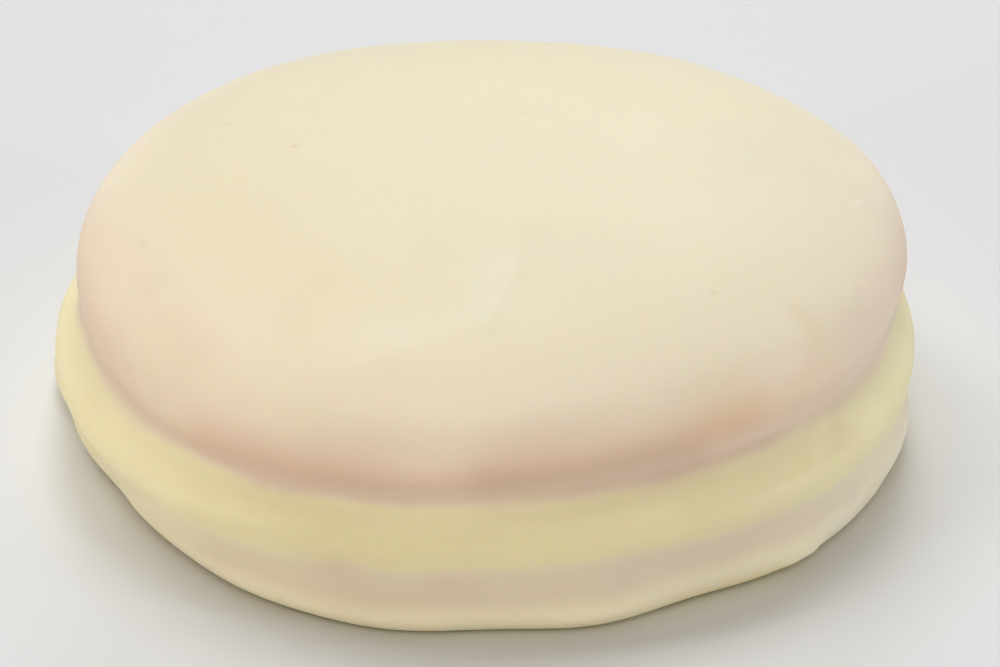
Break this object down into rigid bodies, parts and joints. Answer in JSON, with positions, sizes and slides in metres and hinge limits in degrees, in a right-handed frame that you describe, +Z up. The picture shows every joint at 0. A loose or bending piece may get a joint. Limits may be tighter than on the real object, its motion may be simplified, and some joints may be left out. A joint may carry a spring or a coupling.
{
  "type": "lemon cake",
  "caption": "Round coated sandwich cake: a domed upper cake and a flat lower cake with lemon filling between them, under one thin pale lemon coating.",
  "frame": {"origin": "middle of the flat underside, below the middle of the outline", "axes": "+Z up through the layers, -Y towards the side that faces the viewer, +X to the viewer's right"},
  "size_m": [0.0646, 0.0648, 0.0216],
  "materials": {
    "coated_sponge": "pale lemon coating over sponge cake, satin",
    "coated_filling": "pale lemon coating over lemon cream, satin"
  },
  "bodies": {
    "root": {"upper_cake": "coated_sponge", "lemon_filling": "coated_filling", "lower_cake": "coated_sponge"}
  },
  "joints": []
}
